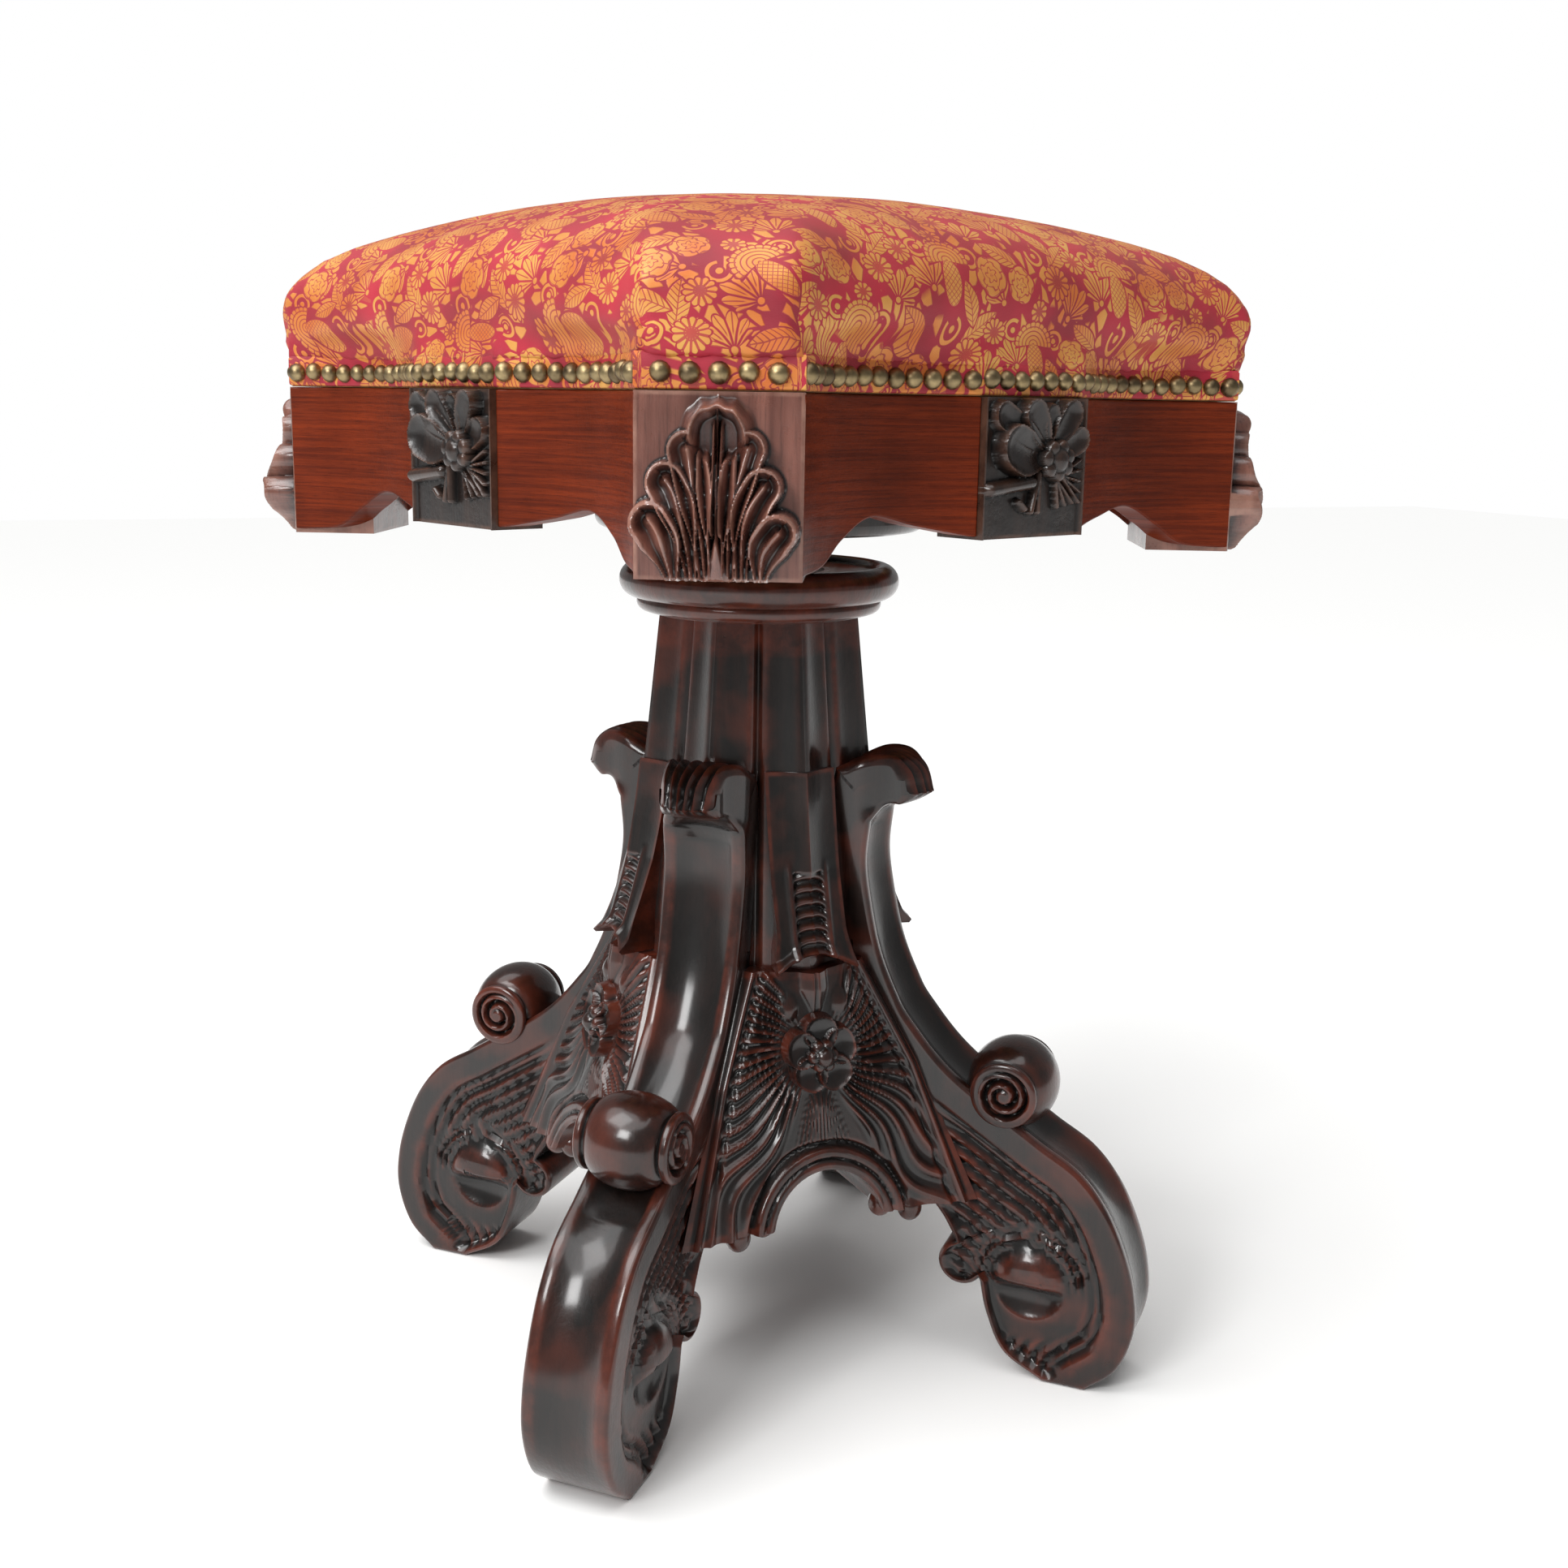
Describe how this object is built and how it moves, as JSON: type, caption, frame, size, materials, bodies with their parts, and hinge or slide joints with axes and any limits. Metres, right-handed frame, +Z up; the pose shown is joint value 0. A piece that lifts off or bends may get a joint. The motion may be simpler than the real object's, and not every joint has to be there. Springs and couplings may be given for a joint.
{
  "type": "revolving piano stool",
  "caption": "Carved revolving piano stool: square padded seat with canted corners on a screw, lobed pillar with scrolled legs.",
  "frame": {"origin": "on the floor under the pillar's axis", "axes": "+Z up along the spindle; the legs stand on the diagonals, so carved panels face -Y, +X, +Y and -X"},
  "size_m": [0.4298, 0.4298, 0.527],
  "materials": {
    "rosewood": "dark stained and French polished, red where it is worn",
    "mahogany": "figured veneer, French polished",
    "walnut_carving": "carved, worn polish with dark recesses",
    "frame_timber": "planed, unpolished",
    "wrought_iron": "forged and cut thread, oiled",
    "screw_steel": "dull slotted screw heads",
    "antique_brass": "antiqued domed heads",
    "damask": "woven floral damask, gold on crimson",
    "hide": "waxed thick hide"
  },
  "bodies": {
    "base": {"capital": "rosewood", "flower_back": "rosewood", "flower_front": "rosewood", "flower_left": "rosewood", "flower_right": "rosewood", "knee_scroll_back_left": "rosewood", "knee_scroll_back_right": "rosewood", "knee_scroll_front_left": "rosewood", "knee_scroll_front_right": "rosewood", "lappet_back": "rosewood", "lappet_front": "rosewood", "lappet_left": "rosewood", "lappet_right": "rosewood", "leg_back_left": "rosewood", "leg_back_right": "rosewood", "leg_front_left": "rosewood", "leg_front_right": "rosewood", "nut": "wrought_iron", "nut_screws": "screw_steel", "panel_back": "rosewood", "panel_front": "rosewood", "panel_left": "rosewood", "panel_right": "rosewood", "pillar_core": "rosewood", "pillar_shaft": "rosewood"},
    "washer": {"washer": "hide"},
    "seat": {"apron_back_left": "mahogany", "apron_back_right": "mahogany", "apron_front_left": "mahogany", "apron_front_right": "mahogany", "apron_left_left": "mahogany", "apron_left_right": "mahogany", "apron_right_left": "mahogany", "apron_right_right": "mahogany", "bearer_cross": "frame_timber", "bearer_long": "frame_timber", "corner_block_back_left": "walnut_carving", "corner_block_back_right": "walnut_carving", "corner_block_front_left": "walnut_carving", "corner_block_front_right": "walnut_carving", "cover_band": "damask", "cushion": "damask", "dome_nails": "antique_brass", "flange_screws": "screw_steel", "middle_block_back": "walnut_carving", "middle_block_front": "walnut_carving", "middle_block_left": "walnut_carving", "middle_block_right": "walnut_carving", "seat_board": "frame_timber", "seat_boss": "rosewood", "spindle": "wrought_iron", "spindle_flange": "wrought_iron", "tack_rail": "frame_timber"}
  },
  "joints": [
    {"name": "seat_lift", "type": "slide", "parent": "base", "child": "washer", "axis": [0, 0, 1], "range_m": [-0.0127, 0.09525]},
    {"name": "seat_turn", "type": "hinge", "parent": "washer", "child": "seat", "pos_m": [0, 0, 0.39], "axis": [0, 0, 1], "range_deg": [-720, 5400]}
  ],
  "couplings": [
    {"joint": "seat_lift", "follows": "seat_turn", "m_per_rad": 0.0010106}
  ]
}
